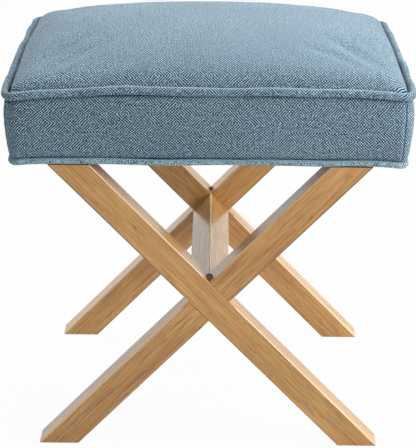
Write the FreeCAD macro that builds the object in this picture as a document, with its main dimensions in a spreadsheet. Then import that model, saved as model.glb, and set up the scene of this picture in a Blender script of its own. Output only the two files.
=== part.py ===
import FreeCAD, Part
import math
import os
import re

import Sketcher

# A boxed-cushion footstool on two X frames. Millimetres, +Z up, front towards -Y,
# origin on the floor under the middle of the seat.

SIZES = (
    # The X frames
    ("foot_span", 405, "across the outer edges of one frame's two feet"),
    ("leg_inset", 33, "from the seat frame's side to the outer edge of a leg's top"),
    ("leg_width", 34, "leg stock, across the slope"),
    ("leg_thickness", 34, "leg stock, from outer to inner face"),
    ("leg_top", 347.5, "height of the level cut on top of the legs"),
    ("frame_inset", 5, "of a frame's outer face from the cloth side's fullest line"),
    ("edge_round", 1.2, "eased edges of legs and stretcher"),
    ("lap_clearance", 0.1, "play in the halving joints"),
    ("tenon_diameter", 18, "round tenon on each end of the stretcher"),
    ("tenon_wall", 7, "wood left in front of a tenon's mortise"),
    ("tenon_clearance", 0.1, "round a tenon"),
    ("tenon_end_gap", 1, "glue space past a tenon's end"),
    ("pin_diameter", 4, "shank of the screw that pins a tenon"),
    ("pin_past", 6, "how far that screw reaches past the tenon's axis"),
    ("pin_head", 7, "diameter of its head"),
    ("pin_head_height", 2.4, "of its head"),
    ("pin_sunk", 0.6, "how far its head lies below the notch"),
    ("pin_room", 0.5, "round its head in its recess"),
    ("screw_clearance", 0.1, "round every screw and nail"),
    # The feet
    ("glide_diameter", 20, "of a foot's glide"),
    ("glide_proud", 1.5, "how far a glide stands out of its foot"),
    ("glide_recess", 1.5, "how far a glide is let into its foot"),
    ("nail_diameter", 2.4, "of a glide's nail"),
    ("nail_head", 6, "diameter of its head"),
    ("nail_head_height", 0.8, "of its head"),
    ("nail_sunk", 0.4, "how far its head lies above the floor"),
    ("nail_length", 16, "of the nail, with its head"),
    # The bolts from the legs into the seat
    ("bolt_diameter", 6, "of a leg bolt"),
    ("bolt_tip_gap", 2.5, "between its tip and the deck"),
    ("bolt_head", 10, "diameter of its head"),
    ("bolt_head_height", 5, "of its head"),
    ("bolt_socket", 5, "diameter of the socket in its head"),
    ("bolt_socket_depth", 3, "of that socket"),
    ("bolt_grip", 16, "wood between its washer and the leg's top"),
    ("bolt_shift", 5, "from the middle of the leg's top towards the stool's middle"),
    ("bolt_clearance", 0.25, "round a leg bolt and its nut"),
    ("washer_diameter", 13, "of a leg bolt's washer"),
    ("washer_thickness", 1.2, "of that washer"),
    ("washer_room", 0.5, "round that washer in its recess"),
    ("nut_barrel", 8, "diameter of a tee nut's barrel"),
    ("nut_barrel_length", 10, "of that barrel"),
    ("nut_flange", 19, "diameter of its flange"),
    ("nut_flange_thickness", 1.4, "of its flange"),
    # The seat frame
    ("rail_height", 32, "of the seat rails"),
    ("rail_width", 28, "of the front and rear rails"),
    ("side_rail_width", 22, "of the left and right rails"),
    ("rail_round", 6.2, "rounded outer corners of the seat frame, which the cloth follows"),
    ("rail_screw_diameter", 4.5, "screws through the rail corners"),
    ("rail_screw_bite", 27, "how far those screws go into a side rail"),
    ("rail_screw_head", 8.5, "diameter of their heads"),
    ("rail_screw_spread", 14, "between the two screws of a corner"),
    ("block_leg", 42, "sides of a corner block along its rails"),
    ("block_gap", 8, "between a corner block and the rails' underside"),
    ("deck_thickness", 9, "of the plywood deck"),
    ("deck_screw_diameter", 4, "screws that hold the deck"),
    ("deck_screw_bite", 19, "how far those screws go into a rail"),
    ("deck_screw_head", 8, "diameter of their heads"),
    ("lining", 0.5, "thickness of the dust cover"),
    ("lining_inset", 4, "of the dust cover from the rails' outer faces"),
    ("staple_width", 10, "of a staple"),
    ("staple_wire", 1, "thickness of its wire"),
    ("staple_leg", 7, "length of its legs above the dust cover's underside"),
    ("staple_clearance", 0.05, "round a staple's legs"),
    # The upholstery
    ("seat_width", 460, "across the cloth sides at their fullest"),
    ("seat_depth", 394, "from front to rear at their fullest"),
    ("side_height", 74, "of the cloth sides between the two welts"),
    ("draw_in", 5.3, "how far the sides draw in at the bottom"),
    ("fullest_share", 0.75, "share of the side's height where it is fullest"),
    ("cloth", 1.2, "thickness of the cover cloth"),
    ("skin_gap", 0.3, "between cloth and what fills it"),
    ("seam_gap", 0.2, "between cloth panels at a corner seam"),
    ("top_welt_diameter", 8.5, "of the top piping"),
    ("top_welt_proud", 2.2, "how far it stands out of the cloth sides"),
    ("bottom_welt_diameter", 7, "of the bottom piping"),
    ("bottom_welt_proud", 0.8, "how far it stands out of the cloth sides"),
    ("crown", 57, "rise of the top panel from its edge to its middle"),
    ("shoulder_share", 0.6, "radius of the crown's shoulders as a share of its rise"),
    ("edge_rise", 4, "rise of the top panel straight over its front and rear edges"),
    ("corner_slack", 0.2, "ease of the crown's corner rounding past its straight sides"),
)

# Sizes that follow from the driving ones, each written once as a formula.
FORMULAS = {
    "foot_half": "foot_span / 2",
    "top_half": "rail_half_x - leg_inset",
    "leg_rise": "leg_top - glide_proud",
    "leg_spread": "foot_half + top_half",
    "leg_angle": "atan(leg_rise / leg_spread) + asin(leg_width / sqrt(leg_spread ^ 2 + leg_rise ^ 2))",
    "foot_cut": "leg_width / sin(leg_angle)",
    "foot_middle": "foot_half - foot_cut / 2",
    "leg_run": "leg_rise / tan(leg_angle)",
    "notch_level": "glide_proud + foot_half * tan(leg_angle)",
    "under_level": "glide_proud + (foot_half - foot_cut) * tan(leg_angle)",
    "cross_level": "(notch_level + under_level) / 2",
    "lap_play": "lap_clearance / sin(leg_angle)",
    "outer_face": "seat_depth / 2 - frame_inset",
    "inner_face": "outer_face - leg_thickness",
    "leg_middle": "outer_face - leg_thickness / 2",
    "tenon_length": "leg_thickness - tenon_wall - tenon_end_gap",
    "pin_bore": "pin_head + 2 * pin_room",
    "pin_recess": "pin_head_height + pin_sunk",
    "pin_seat": "notch_level - pin_recess",
    "pin_length": "pin_seat - cross_level + pin_past",
    "bolt_x": "top_half - foot_cut / 2 - bolt_shift",
    "bolt_seat": "leg_top - bolt_grip",
    "bolt_length": "washer_thickness + bolt_grip + lining + rail_height - bolt_tip_gap",
    "bolt_hole": "bolt_diameter + 2 * bolt_clearance",
    "washer_recess": "washer_diameter + 2 * washer_room",
    "rail_bottom": "leg_top + lining",
    "rail_top": "rail_bottom + rail_height",
    "rail_middle": "rail_bottom + rail_height / 2",
    "deck_top": "rail_top + deck_thickness",
    "side_bottom": "rail_bottom + bottom_welt_diameter + skin_gap",
    "side_top": "side_bottom + side_height",
    "bottom_welt_level": "rail_bottom + bottom_welt_diameter / 2",
    "top_welt_level": "side_top + skin_gap + top_welt_diameter / 2",
    "top_draw_in": "draw_in * ((1 - fullest_share) / fullest_share) ^ 2",
    "bottom_welt_set": "draw_in + bottom_welt_diameter / 2 - bottom_welt_proud",
    "top_welt_set": "top_draw_in + top_welt_diameter / 2 - top_welt_proud",
    "rail_set": "bottom_welt_set + bottom_welt_diameter / 2 + skin_gap",
    "panel_set": "top_welt_set + top_welt_diameter / 2 + skin_gap",
    "rail_half_x": "seat_width / 2 - rail_set",
    "rail_half_y": "seat_depth / 2 - rail_set",
    "rail_inner_x": "rail_half_x - side_rail_width",
    "rail_inner_y": "rail_half_y - rail_width",
    "side_rail_x": "rail_half_x - side_rail_width / 2",
    "end_rail_y": "rail_half_y - rail_width / 2",
    "corner_radius": "rail_round + rail_set",
    "rail_screw_low": "rail_middle - rail_screw_spread / 2",
    "rail_screw_high": "rail_middle + rail_screw_spread / 2",
    "rail_screw_length": "rail_width + rail_screw_bite",
    "block_height": "rail_height - block_gap",
    "deck_screw_length": "deck_thickness + deck_screw_bite",
    "end_spot": "bolt_x / 2",
    "side_spot": "rail_inner_y / 2",
}

X_AXIS = FreeCAD.Vector(1, 0, 0)
Y_AXIS = FreeCAD.Vector(0, 1, 0)
Z_AXIS = FreeCAD.Vector(0, 0, 1)

doc = FreeCAD.newDocument("Footstool")
sheet = doc.addObject("Spreadsheet::Sheet", "Sizes")
subparts = []


def fill_sheet():
    for row, (alias, size, note) in enumerate(SIZES, 1):
        sheet.set(f"A{row}", note)
        sheet.set(f"B{row}", str(size))
        sheet.setAlias(f"B{row}", alias)
    doc.recompute()


def expression(text):
    """Spell a formula out in the sheet's cells."""
    aliases = {alias for alias, _, _ in SIZES}

    def spelled(match):
        word = match.group(0)
        if word in FORMULAS:
            return f"({expression(FORMULAS[word])})"
        return f"Sizes.{word}" if word in aliases else word

    return re.sub(r"[a-z_]+", spelled, str(text))


def number(text):
    return float(sheet.evalExpression(expression(text)))


def bind(item, path, text):
    item.setExpression(path, expression(text))


def mirrored(text, sign):
    return f"-({text})" if sign < 0 else str(text)


# Sketches and features

def new_body(label, turn=0):
    """A body, turned about Z by whole degrees."""
    body = doc.addObject("PartDesign::Body", label)
    body.Label = label
    body.Placement = FreeCAD.Placement(FreeCAD.Vector(), FreeCAD.Rotation(Z_AXIS, turn))
    return body


def new_sketch(body, plane_role, level=None):
    """A sketch on one of the body's own planes, moved along the plane's normal to a level."""
    sketch = body.newObject("Sketcher::SketchObject", f"{body.Name}_sketch")
    plane = next(item for item in body.Origin.OriginFeatures if item.Role == plane_role)
    sketch.AttachmentSupport = [(plane, "")]
    sketch.MapMode = "FlatFace"
    if level is not None:
        bind(sketch, "AttachmentOffset.Base.z", level)
    return sketch


def dimension(sketch, text, kind, *places):
    index = sketch.addConstraint(Sketcher.Constraint(kind, *places, number(text)))
    bind(sketch, f"Constraints[{index}]", text)


def pin_point(sketch, item, point, x, y):
    dimension(sketch, x, "DistanceX", -1, 1, item, point)
    dimension(sketch, y, "DistanceY", -1, 1, item, point)


def polygon(sketch, points):
    """A closed outline through corners given as pairs of formulas."""
    corners = [FreeCAD.Vector(number(x), number(y), 0) for x, y in points]
    first = sketch.GeometryCount
    count = len(corners)
    for i, corner in enumerate(corners):
        sketch.addGeometry(Part.LineSegment(corner, corners[(i + 1) % count]), False)
    for i in range(count):
        sketch.addConstraint(Sketcher.Constraint("Coincident", first + i, 2, first + (i + 1) % count, 1))
    for i, (x, y) in enumerate(points):
        pin_point(sketch, first + i, 1, x, y)


def rectangle(sketch, left, right, near, far):
    polygon(sketch, ((left, near), (right, near), (right, far), (left, far)))


def circle(sketch, x, y, diameter):
    centre = FreeCAD.Vector(number(x), number(y), 0)
    index = sketch.addGeometry(Part.Circle(centre, Z_AXIS, number(diameter) / 2), False)
    pin_point(sketch, index, 3, x, y)
    dimension(sketch, diameter, "Diameter", index)


def pad(body, sketch, length, reverse=False, midplane=False):
    feature = body.newObject("PartDesign::Pad", f"{body.Name}_pad")
    feature.Profile = sketch
    bind(feature, "Length", length)
    feature.Reversed = reverse
    feature.Midplane = midplane
    doc.recompute()


def pocket(body, sketch, depth=None, reverse=False):
    """Cut a sketch into the body, right through where no depth is given."""
    before = body.Shape.Volume
    feature = body.newObject("PartDesign::Pocket", f"{body.Name}_pocket")
    feature.Profile = sketch
    feature.Reversed = reverse
    if depth is None:
        feature.Type = "ThroughAll"
    else:
        bind(feature, "Length", depth)
    doc.recompute()
    if not body.Shape.Volume < before:
        raise RuntimeError(f"{feature.Label} in {body.Label} cuts nothing")


def bore(body, plane_role, level, spots, diameter, depth=None, reverse=False):
    """Round holes of one diameter at several spots of a level."""
    sketch = new_sketch(body, plane_role, level)
    for x, y in spots:
        circle(sketch, x, y, diameter)
    pocket(body, sketch, depth, reverse)


def countersunk_bore(body, plane_role, level, spots, diameter, head):
    """Right-angled countersinks over through holes, for screws of a diameter and head."""
    sketch = new_sketch(body, plane_role, level)
    for x, y in spots:
        circle(sketch, x, y, diameter)
    doc.recompute()
    before = body.Shape.Volume
    feature = body.newObject("PartDesign::Hole", f"{body.Name}_hole")
    feature.Profile = sketch
    doc.recompute()
    feature.Threaded = False
    feature.DepthType = "ThroughAll"
    feature.HoleCutType = "Countersink"
    feature.HoleCutCustomValues = True
    feature.HoleCutCountersinkAngle = 90
    bind(feature, "Diameter", f"{diameter} + 2 * screw_clearance")
    bind(feature, "HoleCutDiameter", f"{head} + 2 * screw_clearance")
    doc.recompute()
    if not body.Shape.Volume < before:
        raise RuntimeError(f"{feature.Label} in {body.Label} cuts nothing")


def round_edges(body, radius, wanted):
    """Round the edges of the body so far that a test picks out."""
    base = body.Tip
    names = [f"Edge{i}" for i, edge in enumerate(base.Shape.Edges, 1) if wanted(edge)]
    feature = body.newObject("PartDesign::Fillet", f"{body.Name}_round")
    feature.Base = (base, names)
    bind(feature, "Radius", radius)
    doc.recompute()


def is_upright(edge):
    return abs(edge.tangentAt(edge.FirstParameter).z) > 0.99


def turned(label, profile):
    """A body of revolution about Z from an outline of radius and height formulas."""
    body = new_body(label)
    sketch = new_sketch(body, "XZ_Plane")
    polygon(sketch, profile)
    feature = body.newObject("PartDesign::Revolution", f"{label}_turned")
    feature.Profile = sketch
    feature.ReferenceAxis = (sketch, ["V_Axis"])
    feature.Angle = 360
    doc.recompute()
    return body


def place(item, axis, turn, spot):
    """Turn an item about an axis by whole degrees and move it to a spot of three formulas."""
    item.Placement = FreeCAD.Placement(FreeCAD.Vector(), FreeCAD.Rotation(axis, turn))
    for letter, text in zip("xyz", spot):
        bind(item, f"Placement.Base.{letter}", text)


def repeat(label, pattern, places, axis=Z_AXIS):
    """One node that holds a copy of a pattern piece at each spot, turned as given."""
    copies = []
    for spot, turn in places:
        copy = doc.addObject("App::Link", f"{label}_copy")
        copy.LinkedObject = pattern
        place(copy, axis, turn, spot)
        copies.append(copy)
    node = doc.addObject("Part::Compound", label)
    node.Label = label
    node.Links = copies
    subparts.append(node)


def four_corners(x, y):
    return [(mirrored(x, side), mirrored(y, end)) for end in (-1, 1) for side in (-1, 1)]


# The X frames

def leg_outline(foot_side, play="0"):
    """Corners of a leg whose foot stands on one side, widened by some play."""
    points = (
        (f"foot_half - foot_cut - {play}", "glide_proud"),
        (f"foot_half + {play}", "glide_proud"),
        (f"foot_half - leg_run + {play}", "leg_top"),
        (f"foot_half - foot_cut - leg_run - {play}", "leg_top"),
    )
    return [(mirrored(x, foot_side), z) for x, z in points]


def make_leg(label, foot_side, turn):
    """A leg of the front frame, or of the rear one when turned half round.

    The leg with its right foot on the floor keeps its outer half at the crossing,
    and the other one its inner half.
    """
    body = new_body(label, turn)
    sketch = new_sketch(body, "XZ_Plane", "outer_face")
    polygon(sketch, leg_outline(foot_side))
    pad(body, sketch, "leg_thickness", reverse=True)
    top = number("leg_top")
    round_edges(body, "edge_round", lambda edge: edge.CenterOfMass.z < top - number("edge_round"))

    over = foot_side > 0
    lap = new_sketch(body, "XZ_Plane", "inner_face" if over else "outer_face")
    polygon(lap, leg_outline(-foot_side, "lap_play"))
    pocket(body, lap, "(leg_thickness + lap_clearance) / 2", reverse=over)

    bore(body, "XZ_Plane", "inner_face", [("0", "cross_level")], "tenon_diameter + 2 * tenon_clearance",
         "tenon_length + tenon_end_gap", reverse=True)
    pin_spot = [("0", "-leg_middle")]
    bore(body, "XY_Plane", "notch_level + pin_bore", pin_spot, "pin_bore", "pin_bore + pin_recess")
    bore(body, "XY_Plane", "pin_seat", pin_spot, "pin_diameter + 2 * screw_clearance",
         "pin_seat - cross_level")

    bolt_spot = [(mirrored("bolt_x", -foot_side), "-leg_middle")]
    bore(body, "XY_Plane", "leg_top", bolt_spot, "bolt_hole")
    bore(body, "XY_Plane", "bolt_seat", bolt_spot, "washer_recess")
    foot_spot = [(mirrored("foot_middle", foot_side), "-leg_middle")]
    bore(body, "XY_Plane", "glide_proud", foot_spot, "glide_diameter + 2 * screw_clearance",
         "glide_recess", reverse=True)
    bore(body, "XY_Plane", "glide_proud", foot_spot, "nail_diameter + 2 * screw_clearance",
         "nail_sunk + nail_length - glide_proud + screw_clearance", reverse=True)
    subparts.append(body)


def make_stretcher():
    body = new_body("stretcher")
    sketch = new_sketch(body, "XZ_Plane")
    polygon(sketch, (
        ("0", "notch_level"), ("foot_cut / 2", "cross_level"),
        ("0", "under_level"), ("-foot_cut / 2", "cross_level"),
    ))
    pad(body, sketch, "2 * inner_face", midplane=True)
    round_edges(body, "edge_round", lambda edge: abs(edge.tangentAt(edge.FirstParameter).y) > 0.99)
    tenon = new_sketch(body, "XZ_Plane")
    circle(tenon, "0", "cross_level", "tenon_diameter")
    pad(body, tenon, "2 * (inner_face + tenon_length)", midplane=True)
    bore(body, "XY_Plane", "cross_level + tenon_diameter / 2", [("0", "leg_middle"), ("0", "-leg_middle")],
         "pin_diameter + 2 * screw_clearance",
         "tenon_diameter / 2 + cross_level - pin_seat + pin_length + screw_clearance")
    subparts.append(body)


def make_crossing_screws():
    pattern = turned("crossing_screw", (
        ("0", "-pin_length"), ("pin_diameter / 2", "-pin_length + pin_diameter"),
        ("pin_diameter / 2", "0"), ("pin_head / 2", "0"),
        ("pin_head / 2", "pin_head_height"), ("0", "pin_head_height"),
    ))
    places = [(("0", mirrored("leg_middle", end), "pin_seat"), 0) for end in (-1, 1)]
    repeat("crossing_screws", pattern, places)


def make_feet():
    glide = turned("foot_glide", (
        ("nail_diameter / 2 + screw_clearance", "nail_sunk + nail_head_height"),
        ("nail_head / 2 + screw_clearance", "nail_sunk + nail_head_height"),
        ("nail_head / 2 + screw_clearance", "0"),
        ("glide_diameter / 2 - glide_proud / 2", "0"),
        ("glide_diameter / 2", "glide_proud / 2"),
        ("glide_diameter / 2", "glide_proud + glide_recess"),
        ("nail_diameter / 2 + screw_clearance", "glide_proud + glide_recess"),
    ))
    nail = turned("glide_nail", (
        ("0", "nail_sunk"), ("nail_head / 2", "nail_sunk"),
        ("nail_head / 2", "nail_sunk + nail_head_height"),
        ("nail_diameter / 2", "nail_sunk + nail_head_height"),
        ("nail_diameter / 2", "nail_sunk + nail_length - nail_diameter"),
        ("0", "nail_sunk + nail_length"),
    ))
    places = [((x, y, "0"), 0) for x, y in four_corners("foot_middle", "leg_middle")]
    repeat("foot_glides", glide, places)
    repeat("glide_nails", nail, places)


def make_leg_bolts():
    bolt = turned("leg_bolt", (
        ("0", "bolt_socket_depth"), ("bolt_socket / 2", "bolt_socket_depth"),
        ("bolt_socket / 2", "0"), ("bolt_head / 2", "0"),
        ("bolt_head / 2", "bolt_head_height"), ("bolt_diameter / 2", "bolt_head_height"),
        ("bolt_diameter / 2", "bolt_head_height + bolt_length"),
        ("0", "bolt_head_height + bolt_length"),
    ))
    bore_radius = "bolt_diameter / 2 + screw_clearance"
    washer = turned("leg_washer", (
        (bore_radius, "0"), ("washer_diameter / 2", "0"),
        ("washer_diameter / 2", "washer_thickness"), (bore_radius, "washer_thickness"),
    ))
    nut = turned("tee_nut", (
        (bore_radius, "-nut_barrel_length - nut_flange_thickness"),
        ("nut_barrel / 2", "-nut_barrel_length - nut_flange_thickness"),
        ("nut_barrel / 2", "-nut_flange_thickness"), ("nut_flange / 2", "-nut_flange_thickness"),
        ("nut_flange / 2", "0"), (bore_radius, "0"),
    ))
    spots = four_corners("bolt_x", "leg_middle")
    under_head = "bolt_seat - washer_thickness - bolt_head_height"
    under_washer = "bolt_seat - washer_thickness"
    for label, pattern, level in (("leg_bolts", bolt, under_head), ("leg_washers", washer, under_washer),
                                  ("tee_nuts", nut, "rail_top")):
        repeat(label, pattern, [((x, y, level), 0) for x, y in spots])


# The seat frame

def staple_slots(body, middles, along_x):
    """Slots for the legs of staples at some middles of a rail or lining, cut upwards."""
    near = "staple_width / 2 - staple_wire - staple_clearance"
    far = "staple_width / 2 + staple_clearance"
    half = "staple_wire / 2 + staple_clearance"
    sketch = new_sketch(body, "XY_Plane", "leg_top")
    for x, y in middles:
        for low, high in ((f"-({far})", f"-({near})"), (near, far)):
            if along_x:
                rectangle(sketch, f"{x} + {low}", f"{x} + {high}", f"{y} - ({half})", f"{y} + {half}")
            else:
                rectangle(sketch, f"{x} - ({half})", f"{x} + {half}", f"{y} + {low}", f"{y} + {high}")
    pocket(body, sketch, "staple_leg + staple_clearance", reverse=True)


def end_staples(end):
    return [(f"{step} * end_spot", mirrored("end_rail_y", end)) for step in (-1, 0, 1)]


def side_staples(side):
    return [(mirrored("side_rail_x", side), f"{step} * side_spot") for step in (-1, 0, 1)]


def deck_pilots(body, spots):
    """Pilot holes for the deck's screws, from the top of a rail."""
    bore(body, "XY_Plane", "rail_top", spots, "deck_screw_diameter + 2 * screw_clearance",
         "deck_screw_bite + screw_clearance")


def make_end_rail(label, turn):
    """The front rail, or the rear one when turned half round."""
    body = new_body(label, turn)
    sketch = new_sketch(body, "XY_Plane", "rail_bottom")
    rectangle(sketch, "-rail_half_x", "rail_half_x", "-rail_half_y", "-rail_inner_y")
    pad(body, sketch, "rail_height")
    middle_y = -number("end_rail_y")
    round_edges(body, "rail_round", lambda edge: is_upright(edge) and edge.CenterOfMass.y < middle_y)

    nut_spots = [("-bolt_x", "-leg_middle"), ("bolt_x", "-leg_middle")]
    bore(body, "XY_Plane", "rail_top", nut_spots, "bolt_hole")
    bore(body, "XY_Plane", "rail_top", nut_spots, "nut_barrel + 2 * bolt_clearance",
         "nut_flange_thickness + nut_barrel_length")
    bore(body, "XY_Plane", "rail_top", nut_spots, "nut_flange + 2 * bolt_clearance", "nut_flange_thickness")
    levels = ("rail_screw_low", "rail_screw_high")
    screw_spots = [(mirrored("side_rail_x", side), level) for side in (-1, 1) for level in levels]
    countersunk_bore(body, "XZ_Plane", "rail_half_y", screw_spots, "rail_screw_diameter", "rail_screw_head")
    deck_pilots(body, [("-end_spot", "-end_rail_y"), ("end_spot", "-end_rail_y")])
    staple_slots(body, end_staples(-1), along_x=True)
    subparts.append(body)


def make_side_rail(label, turn):
    """The right rail, or the left one when turned half round."""
    body = new_body(label, turn)
    sketch = new_sketch(body, "XY_Plane", "rail_bottom")
    rectangle(sketch, "rail_inner_x", "rail_half_x", "-rail_inner_y", "rail_inner_y")
    pad(body, sketch, "rail_height")
    for end in (-1, 1):
        bore(body, "XZ_Plane", mirrored("rail_inner_y", end),
             [("side_rail_x", "rail_screw_low"), ("side_rail_x", "rail_screw_high")],
             "rail_screw_diameter + 2 * screw_clearance",
             "rail_screw_bite + screw_clearance", reverse=end < 0)
    deck_pilots(body, [("side_rail_x", "-side_spot"), ("side_rail_x", "side_spot")])
    staple_slots(body, side_staples(1), along_x=False)
    subparts.append(body)


def make_corner_block(label, side, end):
    body = new_body(label)
    sketch = new_sketch(body, "XY_Plane", "rail_top - block_height")
    x, y = mirrored("rail_inner_x", side), mirrored("rail_inner_y", end)
    along_x = mirrored("rail_inner_x - block_leg", side)
    along_y = mirrored("rail_inner_y - block_leg", end)
    polygon(sketch, ((x, y), (along_x, y), (x, along_y)))
    pad(body, sketch, "block_height")
    subparts.append(body)


def countersunk_screw(label, size_name):
    """A right-angle countersunk screw whose head lies flush at its own zero level, shank along -Z."""
    shank = f"{size_name}_diameter / 2"
    return turned(label, (
        ("0", "0"), (f"{size_name}_head / 2", "0"),
        (shank, f"-({size_name}_head - {size_name}_diameter) / 2"),
        (shank, f"-{size_name}_length + {size_name}_diameter"),
        ("0", f"-{size_name}_length"),
    ))


def make_rail_screws():
    pattern = countersunk_screw("rail_screw", "rail_screw")
    places = []
    for end, tilt in ((-1, 90), (1, -90)):
        for side in (-1, 1):
            for level in ("rail_screw_low", "rail_screw_high"):
                spot = (mirrored("side_rail_x", side), mirrored("rail_half_y", end), level)
                places.append((spot, tilt))
    repeat("rail_screws", pattern, places, X_AXIS)


def deck_screw_spots():
    return four_corners("end_spot", "end_rail_y") + four_corners("side_rail_x", "side_spot")


def make_deck():
    body = new_body("seat_deck")
    sketch = new_sketch(body, "XY_Plane", "rail_top")
    rectangle(sketch, "-rail_half_x", "rail_half_x", "-rail_half_y", "rail_half_y")
    pad(body, sketch, "deck_thickness")
    round_edges(body, "rail_round", is_upright)
    spots = deck_screw_spots()
    countersunk_bore(body, "XY_Plane", "deck_top", spots, "deck_screw_diameter", "deck_screw_head")
    subparts.append(body)
    pattern = countersunk_screw("deck_screw", "deck_screw")
    repeat("deck_screws", pattern, [((x, y, "deck_top"), 0) for x, y in spots])


def make_dust_cover():
    body = new_body("dust_cover")
    sketch = new_sketch(body, "XY_Plane", "leg_top")
    half_x, half_y = "rail_half_x - lining_inset", "rail_half_y - lining_inset"
    rectangle(sketch, f"-({half_x})", half_x, f"-({half_y})", half_y)
    pad(body, sketch, "lining")
    round_edges(body, "rail_round", is_upright)
    bore(body, "XY_Plane", "rail_bottom", four_corners("bolt_x", "leg_middle"), "bolt_hole")
    for sign in (-1, 1):
        staple_slots(body, end_staples(sign), along_x=True)
        staple_slots(body, side_staples(sign), along_x=False)
    subparts.append(body)


def make_staples():
    body = new_body("staple")
    sketch = new_sketch(body, "XZ_Plane")
    half, inside = "staple_width / 2", "staple_width / 2 - staple_wire"
    polygon(sketch, (
        (f"-({half})", "-staple_wire"), (half, "-staple_wire"), (half, "staple_leg"), (inside, "staple_leg"),
        (inside, "0"), (f"-({inside})", "0"), (f"-({inside})", "staple_leg"), (f"-({half})", "staple_leg"),
    ))
    pad(body, sketch, "staple_wire", midplane=True)
    places = [((x, y, "leg_top"), 0) for end in (-1, 1) for x, y in end_staples(end)]
    places += [((x, y, "leg_top"), 90) for side in (-1, 1) for x, y in side_staples(side)]
    repeat("staples", body, places)


# The upholstery

def make_soft(label, shape):
    node = doc.addObject("Part::Feature", label)
    node.Label = label
    node.Shape = shape
    node.Placement = FreeCAD.Placement()
    subparts.append(node)


def rounded_wire(half_x, half_y, radius, level):
    """A rounded rectangle in plan, of four lines and four quarter arcs."""
    edges = []
    diagonal = radius * math.sqrt(0.5)
    corners = ((1, -1), (1, 1), (-1, 1), (-1, -1))
    ends = []
    for i, (side, end) in enumerate(corners):
        centre = FreeCAD.Vector(side * (half_x - radius), end * (half_y - radius), level)
        out_x = FreeCAD.Vector(side * radius, 0, 0)
        out_y = FreeCAD.Vector(0, end * radius, 0)
        middle = centre + FreeCAD.Vector(side * diagonal, end * diagonal, 0)
        arc_ends = (centre + out_y, centre + out_x) if i % 2 == 0 else (centre + out_x, centre + out_y)
        ends.append((arc_ends[0], middle, arc_ends[1]))
    for i, (start, middle, stop) in enumerate(ends):
        edges.append(Part.Arc(start, middle, stop).toShape())
        edges.append(Part.LineSegment(stop, ends[(i + 1) % len(ends)][0]).toShape())
    return Part.Wire(edges)


def side_draw(level):
    """How far the cloth side lies inside its fullest outline at a level."""
    share = (level - number("side_bottom")) / number("side_height")
    fullest = number("fullest_share")
    return number("draw_in") * ((share - fullest) / fullest) ** 2


def side_form(low, high, inset, stations=5):
    """A solid with the seat's drawn-in sides between two levels, inset from the cloth's outside."""
    wires = []
    for i in range(stations):
        level = low + (high - low) * i / (stations - 1)
        draw = side_draw(level) + inset
        half_x, half_y = number("seat_width") / 2 - draw, number("seat_depth") / 2 - draw
        wires.append(rounded_wire(half_x, half_y, number("corner_radius") - inset, level))
    return Part.makeLoft(wires, True, False)


def make_boxing():
    """The four cloth sides, cut from one band along the corner diagonals."""
    low, high, cloth = number("side_bottom"), number("side_top"), number("cloth")
    band = side_form(low, high, 0).cut(side_form(low, high, cloth))
    radius = number("corner_radius")
    half_x = number("seat_width") / 2 - number("top_draw_in") - radius
    half_y = number("seat_depth") / 2 - number("top_draw_in") - radius
    reach = 2 * radius
    slit = number("seam_gap") * math.sqrt(0.5)
    sides = {
        "front_boxing": ((-half_x, -half_y), (half_x, -half_y), (0, -1)),
        "right_boxing": ((half_x, -half_y), (half_x, half_y), (1, 0)),
        "rear_boxing": ((half_x, half_y), (-half_x, half_y), (0, 1)),
        "left_boxing": ((-half_x, half_y), (-half_x, -half_y), (-1, 0)),
    }
    for label, (start, stop, outward) in sides.items():
        out = FreeCAD.Vector(*outward, 0)
        a, b = FreeCAD.Vector(*start, low), FreeCAD.Vector(*stop, low)
        along = (b - a).normalize()
        inner = (a + out * slit, b + out * slit)
        outer = (inner[1] + (out + along) * reach, inner[0] + (out - along) * reach)
        wedge = Part.Face(Part.makePolygon([*inner, *outer, inner[0]]))
        make_soft(label, band.common(wedge.extrude(Z_AXIS * (high - low))))


def make_padding():
    skin = number("cloth") + number("skin_gap")
    deck_top, side_bottom, side_top = number("deck_top"), number("side_bottom"), number("side_top")
    make_soft("foam_block", side_form(deck_top, side_top, skin))
    rails = rounded_wire(number("rail_half_x"), number("rail_half_y"), number("rail_round"), side_bottom)
    core = Part.Face(rails).extrude(Z_AXIS * (deck_top - side_bottom))
    make_soft("side_wadding", side_form(side_bottom, deck_top, skin).cut(core))


def basket_arch(half_span, rise):
    """Shoulder radius, and depth of the main arc's centre below the base, of a three-centred arch."""
    shoulder = number("shoulder_share") * rise
    reach, lift = half_span - shoulder, rise - shoulder
    return shoulder, (reach ** 2 - lift ** 2) / (2 * lift)


def arch_height(half_span, rise, offset):
    """Height of such an arch at an offset from its middle."""
    shoulder, depth = basket_arch(half_span, rise)
    reach = half_span - shoulder
    main_radius = depth + rise
    if abs(offset) < main_radius * reach / math.hypot(reach, depth):
        return math.sqrt(main_radius ** 2 - offset ** 2) - depth
    return math.sqrt(shoulder ** 2 - (abs(offset) - reach) ** 2)


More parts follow.
